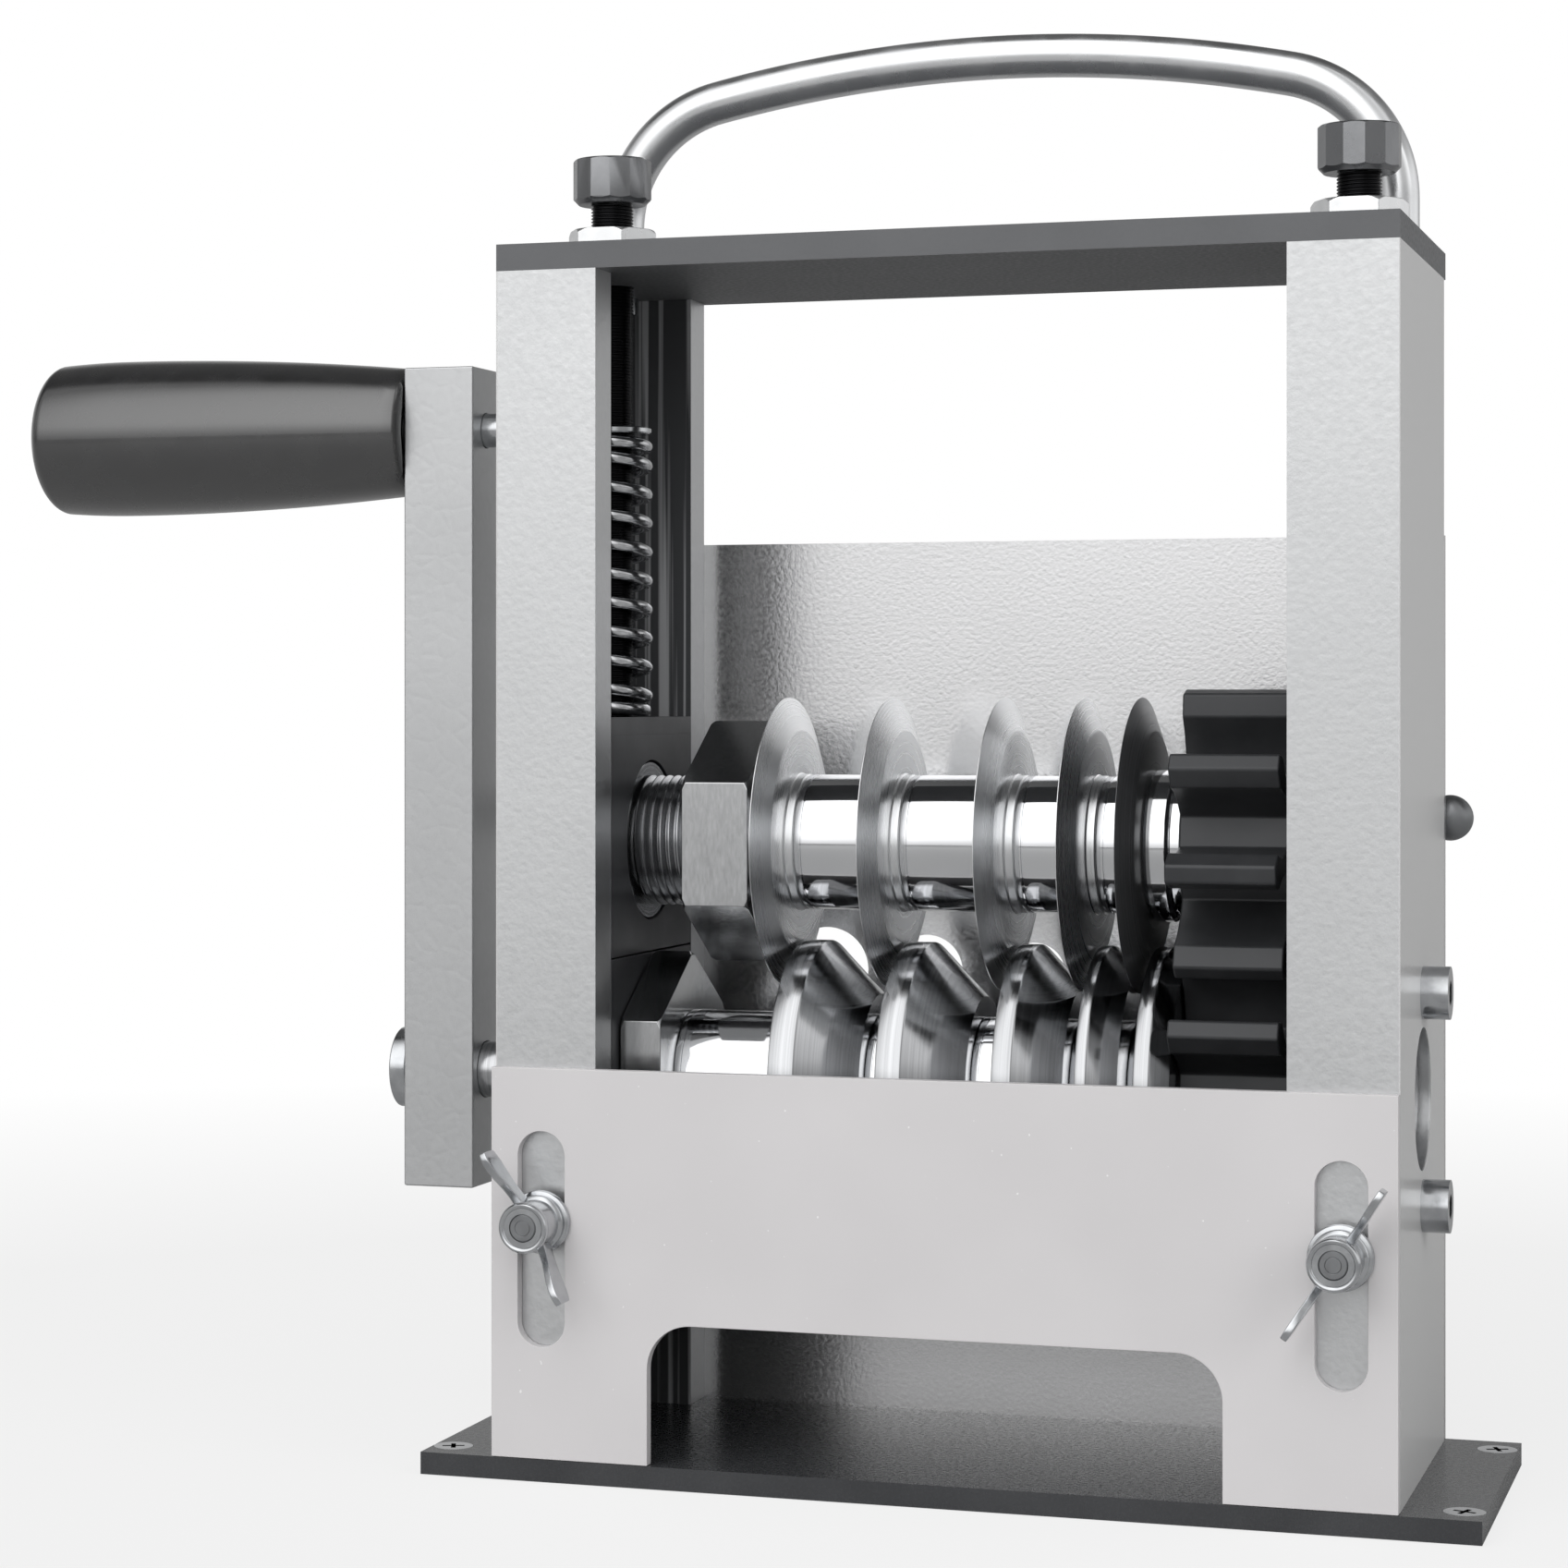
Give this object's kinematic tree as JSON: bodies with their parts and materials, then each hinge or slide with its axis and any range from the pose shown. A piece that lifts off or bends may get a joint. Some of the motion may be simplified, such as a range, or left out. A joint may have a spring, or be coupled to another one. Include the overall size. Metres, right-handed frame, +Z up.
{
  "type": "wire stripping machine",
  "caption": "Hand-cranked bench machine that draws cable between geared feed discs and round slitting blades to cut its jacket open.",
  "frame": {"origin": "middle of the base plate's underside, midway between the columns and in the plane of both shafts", "axes": "+X across the machine towards the gears (the crank is at -X), +Y to the back where cable enters, +Z up"},
  "size_m": [0.3475, 0.1191, 0.328],
  "materials": {
    "powder_coat": "satin, fine powder coat",
    "satin_aluminium": "satin with an orange-peel texture",
    "plate_steel": "pale grey, fine orange peel",
    "polished_chrome": "mirror polish",
    "ground_steel": "turned and ground",
    "dark_blade_steel": "dark tempered",
    "blackened_steel": "blackened, satin",
    "zinc_plate": "bright zinc plate",
    "spring_steel": "bright drawn wire",
    "black_grip": "glossy moulded"
  },
  "bodies": {
    "frame": {"base_plate": "powder_coat", "base_screws": "zinc_plate", "column_screws": "zinc_plate", "left_column": "satin_aluminium", "right_column": "satin_aluminium", "top_plate": "powder_coat", "top_plate_screws": "zinc_plate", "rear_plate": "plate_steel", "rear_plate_screws": "zinc_plate", "rear_guide_bar": "zinc_plate", "rear_bar_posts": "blackened_steel", "carry_handle": "polished_chrome", "handle_screws": "zinc_plate", "adjuster_nuts": "zinc_plate", "lower_blocks": "blackened_steel", "lower_bearings": "ground_steel", "block_bolts": "zinc_plate", "guide_studs": "zinc_plate"},
    "carriage": {"upper_blocks": "blackened_steel", "bushes": "ground_steel", "left_spring": "spring_steel", "right_spring": "spring_steel", "keeper_plates": "blackened_steel", "keeper_screws": "zinc_plate"},
    "left_adjuster": {"left_adjuster": "blackened_steel", "left_spring_ring": "zinc_plate"},
    "right_adjuster": {"right_adjuster": "blackened_steel", "right_spring_ring": "zinc_plate"},
    "cutter": {"cutter_shaft": "ground_steel", "cutter_nut": "ground_steel", "blade_1": "ground_steel", "blade_2": "ground_steel", "blade_3": "ground_steel", "blade_4": "ground_steel", "blade_5": "dark_blade_steel", "cutter_spacers": "polished_chrome", "cutter_collar": "polished_chrome", "cutter_snap_ring": "dark_blade_steel", "upper_gear": "blackened_steel", "upper_key": "zinc_plate"},
    "drive": {"drive_shaft": "ground_steel", "drive_nut": "ground_steel", "feed_disc_1": "ground_steel", "feed_disc_2": "ground_steel", "feed_disc_3": "ground_steel", "feed_disc_4": "ground_steel", "feed_disc_5": "ground_steel", "feed_spacers": "polished_chrome", "drive_snap_ring": "dark_blade_steel", "lower_gear": "blackened_steel", "lower_key": "zinc_plate", "crank_arm": "satin_aluminium", "crank_bolt": "zinc_plate", "grip_spindle": "zinc_plate"},
    "grip": {"grip": "black_grip"},
    "front_plate": {"front_plate": "plate_steel"},
    "left_washer": {"left_washer": "zinc_plate"},
    "right_washer": {"right_washer": "zinc_plate"},
    "left_wing_nut": {"left_wing_nut": "zinc_plate"},
    "right_wing_nut": {"right_wing_nut": "zinc_plate"}
  },
  "joints": [
    {"name": "crank_spin", "type": "hinge", "parent": "frame", "child": "drive", "pos_m": [0, 0, 0.087], "axis": [1, 0, 0], "continuous": true},
    {"name": "grip_spin", "type": "hinge", "parent": "drive", "child": "grip", "pos_m": [-0.186, 0, 0.2374], "axis": [1, 0, 0], "continuous": true},
    {"name": "carriage_lift", "type": "slide", "parent": "frame", "child": "carriage", "axis": [0, 0, 1], "range_m": [0, 0.008]},
    {"name": "cutter_spin", "type": "hinge", "parent": "carriage", "child": "cutter", "pos_m": [0, 0, 0.1415], "axis": [1, 0, 0], "continuous": true},
    {"name": "left_adjuster_turn", "type": "hinge", "parent": "carriage", "child": "left_adjuster", "pos_m": [-0.08625, 0, 0.2], "axis": [0, 0, 1], "range_deg": [0, 1920.5]},
    {"name": "right_adjuster_turn", "type": "hinge", "parent": "carriage", "child": "right_adjuster", "pos_m": [0.08625, 0, 0.2], "axis": [0, 0, 1], "range_deg": [0, 1920.5]},
    {"name": "front_plate_lift", "type": "slide", "parent": "frame", "child": "front_plate", "axis": [0, 0, 1], "range_m": [0, 0.022]},
    {"name": "left_clamp_travel", "type": "slide", "parent": "frame", "child": "left_washer", "axis": [0, -1, 0], "range_m": [0, 0.003]},
    {"name": "left_wing_nut_turn", "type": "hinge", "parent": "left_washer", "child": "left_wing_nut", "pos_m": [-0.08825, -0.046, 0.058], "axis": [0, -1, 0], "range_deg": [0, 1080.5]},
    {"name": "right_clamp_travel", "type": "slide", "parent": "frame", "child": "right_washer", "axis": [0, -1, 0], "range_m": [0, 0.003]},
    {"name": "right_wing_nut_turn", "type": "hinge", "parent": "right_washer", "child": "right_wing_nut", "pos_m": [0.08825, -0.046, 0.058], "axis": [0, -1, 0], "range_deg": [0, 1080.5]}
  ],
  "couplings": [
    {"joint": "cutter_spin", "follows": "crank_spin", "ratio": -1},
    {"joint": "left_adjuster_turn", "follows": "carriage_lift", "rad_per_m": 4188.8},
    {"joint": "right_adjuster_turn", "follows": "carriage_lift", "rad_per_m": 4188.8},
    {"joint": "left_wing_nut_turn", "follows": "left_clamp_travel", "rad_per_m": 6283.2},
    {"joint": "right_wing_nut_turn", "follows": "right_clamp_travel", "rad_per_m": 6283.2}
  ]
}
